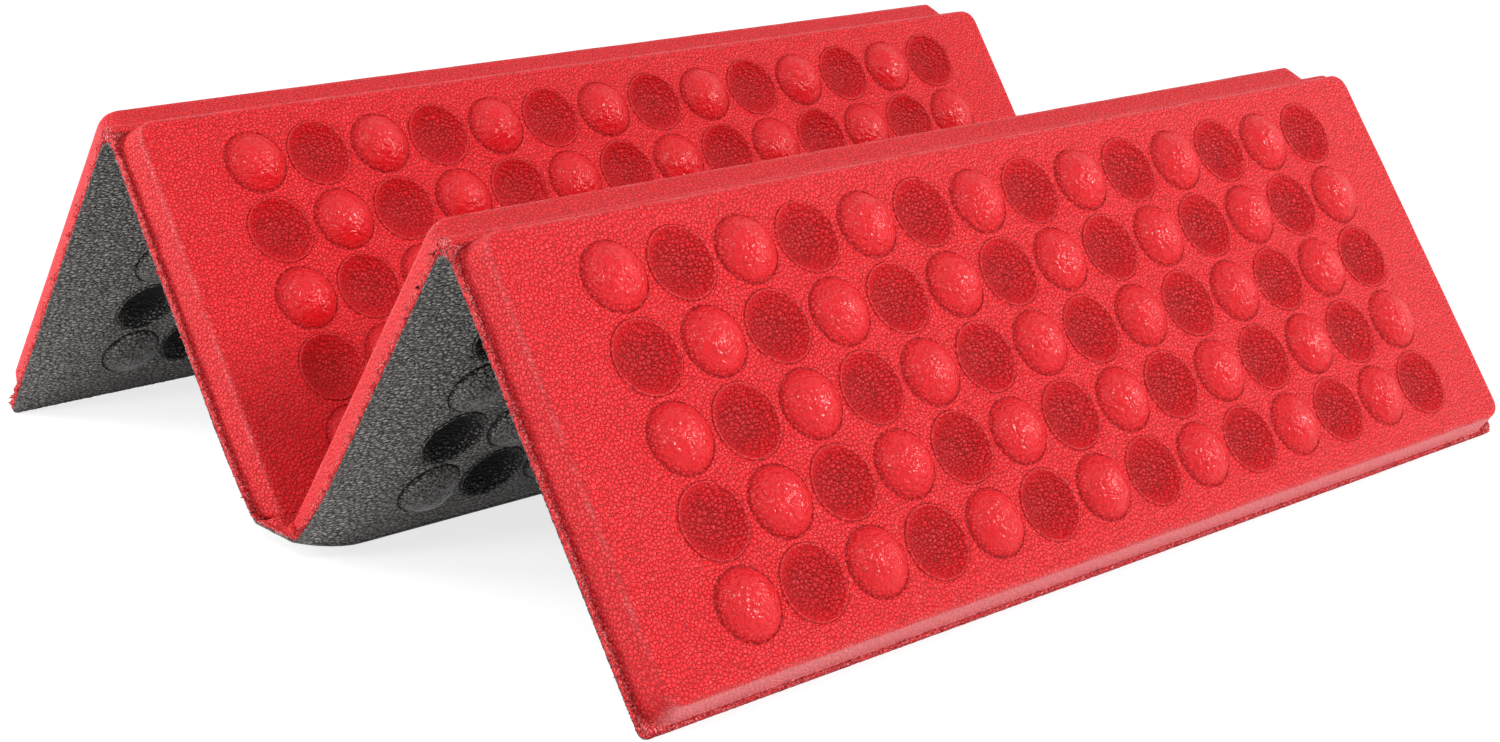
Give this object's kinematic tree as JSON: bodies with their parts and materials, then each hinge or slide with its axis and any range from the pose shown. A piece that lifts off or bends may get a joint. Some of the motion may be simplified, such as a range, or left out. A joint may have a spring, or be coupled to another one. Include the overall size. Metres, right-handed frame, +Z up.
{
  "type": "folding foam seat pad",
  "caption": "Folding foam seat pad of bumped red panels on a grey base, standing half folded as a zigzag on its feet and its valley crease.",
  "frame": {"origin": "on the ground under the middle of the valley crease, at the bottom centre of the standing pad's box", "axes": "+X along the creases, +Y from the front panel to the back panel, +Z up"},
  "size_m": [0.27, 0.2488, 0.0822],
  "materials": {
    "red_foam": "fine pebbled moulded skin, half gloss",
    "grey_foam": "coarse leathery moulded skin, matt"
  },
  "bodies": {
    "valley_web": {"valley_red_web": "red_foam", "valley_grey_web": "grey_foam"},
    "back_inner_panel": {"back_inner_red_pad": "red_foam", "back_inner_grey_base": "grey_foam", "back_ridge_red_web": "red_foam", "back_ridge_grey_web": "grey_foam"},
    "back_outer_panel": {"back_outer_red_pad": "red_foam", "back_outer_grey_base": "grey_foam"},
    "front_inner_panel": {"front_inner_red_pad": "red_foam", "front_inner_grey_base": "grey_foam", "front_ridge_red_web": "red_foam", "front_ridge_grey_web": "grey_foam"},
    "front_outer_panel": {"front_outer_red_pad": "red_foam", "front_outer_grey_base": "grey_foam"}
  },
  "joints": [
    {"name": "valley_back_hinge", "type": "hinge", "parent": "valley_web", "child": "back_inner_panel", "pos_m": [0, 0.00685, 0.0016], "axis": [1, 0, 0], "range_deg": [-55, 35]},
    {"name": "valley_front_hinge", "type": "hinge", "parent": "valley_web", "child": "front_inner_panel", "pos_m": [0, -0.00685, 0.0016], "axis": [-1, 0, 0], "range_deg": [-55, 35]},
    {"name": "back_ridge_hinge", "type": "hinge", "parent": "back_inner_panel", "child": "back_outer_panel", "pos_m": [0, 0.06285, 0.07836], "axis": [1, 0, 0], "range_deg": [-70.7, 109.2], "deforming": ["back_ridge_red_web", "back_ridge_grey_web"]},
    {"name": "front_ridge_hinge", "type": "hinge", "parent": "front_inner_panel", "child": "front_outer_panel", "pos_m": [0, -0.06285, 0.07836], "axis": [-1, 0, 0], "range_deg": [-70.7, 109.2], "deforming": ["front_ridge_red_web", "front_ridge_grey_web"]}
  ],
  "couplings": [
    {"joint": "valley_front_hinge", "follows": "valley_back_hinge", "ratio": 1}
  ]
}
